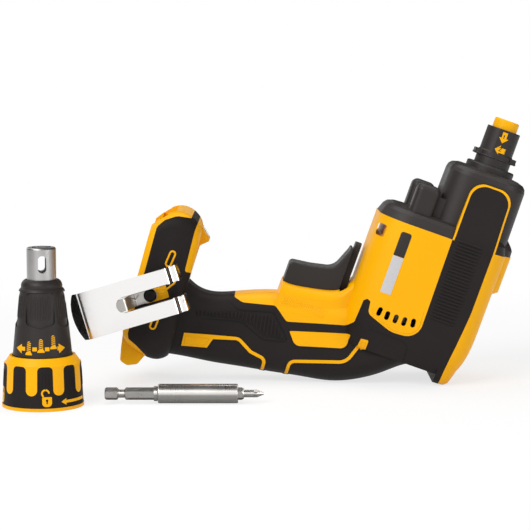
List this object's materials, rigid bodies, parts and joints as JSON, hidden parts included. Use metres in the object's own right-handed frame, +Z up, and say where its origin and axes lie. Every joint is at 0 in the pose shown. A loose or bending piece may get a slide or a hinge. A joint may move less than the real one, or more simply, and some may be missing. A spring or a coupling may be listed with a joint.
{
  "type": "drywall screwdriver",
  "caption": "Cordless drywall screwdriver, bare of its battery, standing on its back with its depth-setting nose cone taken off and its magnetic bit holder beside it.",
  "frame": {"origin": "middle of the whole group's footprint, on the surface that it stands on", "axes": "+Z up; +X to the right, from the handle's foot towards the nose; +Y away from the tool's left side"},
  "size_m": [0.3092, 0.1406, 0.1627],
  "materials": {
    "amber_plastic": "fine moulded texture",
    "grip_rubber": "soft overmould",
    "black_plastic": "moulded",
    "satin_steel": "satin turned",
    "bright_steel": "polished",
    "dark_steel": "blackened",
    "copper": "enamelled wire",
    "bronze": "sintered",
    "die_cast": "die cast",
    "board": "solder mask",
    "inner_plastic": "moulded",
    "clear_lens": "clear"
  },
  "bodies": {
    "housing": {"left_housing": "amber_plastic", "right_housing": "amber_plastic", "left_overmould": "grip_rubber", "right_overmould": "grip_rubber", "gear_case": "black_plastic", "nose_socket": "black_plastic", "housing_screws": "dark_steel", "gear_case_screws": "dark_steel", "gear_plate": "die_cast", "motor_front_bearing": "satin_steel", "motor_rear_bearing": "satin_steel", "spindle_tail_bush": "bronze", "spindle_bush": "bronze", "motor_stator": "dark_steel", "stator_coils": "copper", "sensor_board": "board", "switch_module": "inner_plastic", "lever_pin": "satin_steel", "control_module": "inner_plastic", "terminal_block": "inner_plastic", "terminal_blades": "bright_steel", "led_board": "board", "led_lens": "clear_lens", "belt_clip": "bright_steel", "belt_clip_screw": "satin_steel"},
    "rotor": {"rotor_shaft": "satin_steel", "rotor_core": "dark_steel", "cooling_fan": "inner_plastic", "motor_pinion": "satin_steel"},
    "reduction": {"drive_gear": "satin_steel", "clutch_spring": "satin_steel"},
    "spindle_thrust": {"thrust_washer": "bronze"},
    "spindle": {"output_spindle": "satin_steel", "spindle_collar": "amber_plastic"},
    "trigger": {"trigger": "black_plastic"},
    "reverser": {"reversing_lever": "black_plastic"},
    "nose_cone": {"cone_sleeve": "black_plastic"},
    "lock": {"locking_collar": "amber_plastic", "collar_grip": "grip_rubber"},
    "depth_setter": {"depth_ring": "black_plastic"},
    "depth_stop": {"nosepiece": "satin_steel"},
    "bit_holder": {"bit_holder_shank": "satin_steel", "bit_holder_ring": "satin_steel", "bit_holder_sleeve": "bright_steel", "bit_magnet": "dark_steel"},
    "bit": {"bit_tip": "satin_steel"}
  },
  "joints": [
    {"name": "trigger_pull", "type": "slide", "parent": "housing", "child": "trigger", "axis": [-0.3338, 0, -0.9426], "range_m": [0, 0.007], "stiffness_N_per_m": 300, "springref_m": -0.01},
    {"name": "reverse_lever", "type": "hinge", "parent": "housing", "child": "reverser", "pos_m": [0.04025, 0.03721, 0.04484], "axis": [0.9426, 0, -0.3338], "range_deg": [-10, 10]},
    {"name": "rotor_spin", "type": "hinge", "parent": "housing", "child": "rotor", "pos_m": [0.09932, 0.03721, 0.09393], "axis": [0.3338, 0, 0.9426], "continuous": true},
    {"name": "gear_spin", "type": "hinge", "parent": "housing", "child": "reduction", "pos_m": [0.11922, 0.03721, 0.08689], "axis": [0.3338, 0, 0.9426], "continuous": true},
    {"name": "spindle_press", "type": "slide", "parent": "housing", "child": "spindle_thrust", "axis": [-0.3338, 0, -0.9426], "range_m": [0, 0.0035], "stiffness_N_per_m": 1500, "springref_m": -0.006, "deforming": ["clutch_spring"]},
    {"name": "spindle_spin", "type": "hinge", "parent": "spindle_thrust", "child": "spindle", "pos_m": [0.11922, 0.03721, 0.08689], "axis": [0.3338, 0, 0.9426], "continuous": true},
    {"name": "cone_lift", "type": "slide", "parent": "housing", "child": "nose_cone", "axis": [0, 0, 1], "range_m": [0, 0.12]},
    {"name": "lock_turn", "type": "hinge", "parent": "nose_cone", "child": "lock", "pos_m": [-0.13109, -0.04679, 0], "axis": [0, 0, 1], "range_deg": [0, 45]},
    {"name": "depth_turn", "type": "hinge", "parent": "nose_cone", "child": "depth_setter", "pos_m": [-0.13109, -0.04679, 0], "axis": [0, 0, 1], "range_deg": [-183, 183]},
    {"name": "depth_slide", "type": "slide", "parent": "nose_cone", "child": "depth_stop", "axis": [0, 0, 1], "range_m": [-0.004, 0.004]},
    {"name": "holder_lift", "type": "slide", "parent": "housing", "child": "bit_holder", "axis": [0, 0, 1], "range_m": [0, 0.12]},
    {"name": "bit_pull", "type": "slide", "parent": "bit_holder", "child": "bit", "axis": [1, 0, 0], "range_m": [0, 0.025]}
  ],
  "couplings": [
    {"joint": "gear_spin", "follows": "rotor_spin", "ratio": -0.25},
    {"joint": "spindle_spin", "follows": "rotor_spin", "ratio": -0.25},
    {"joint": "depth_turn", "follows": "depth_slide", "rad_per_m": 785.4}
  ]
}
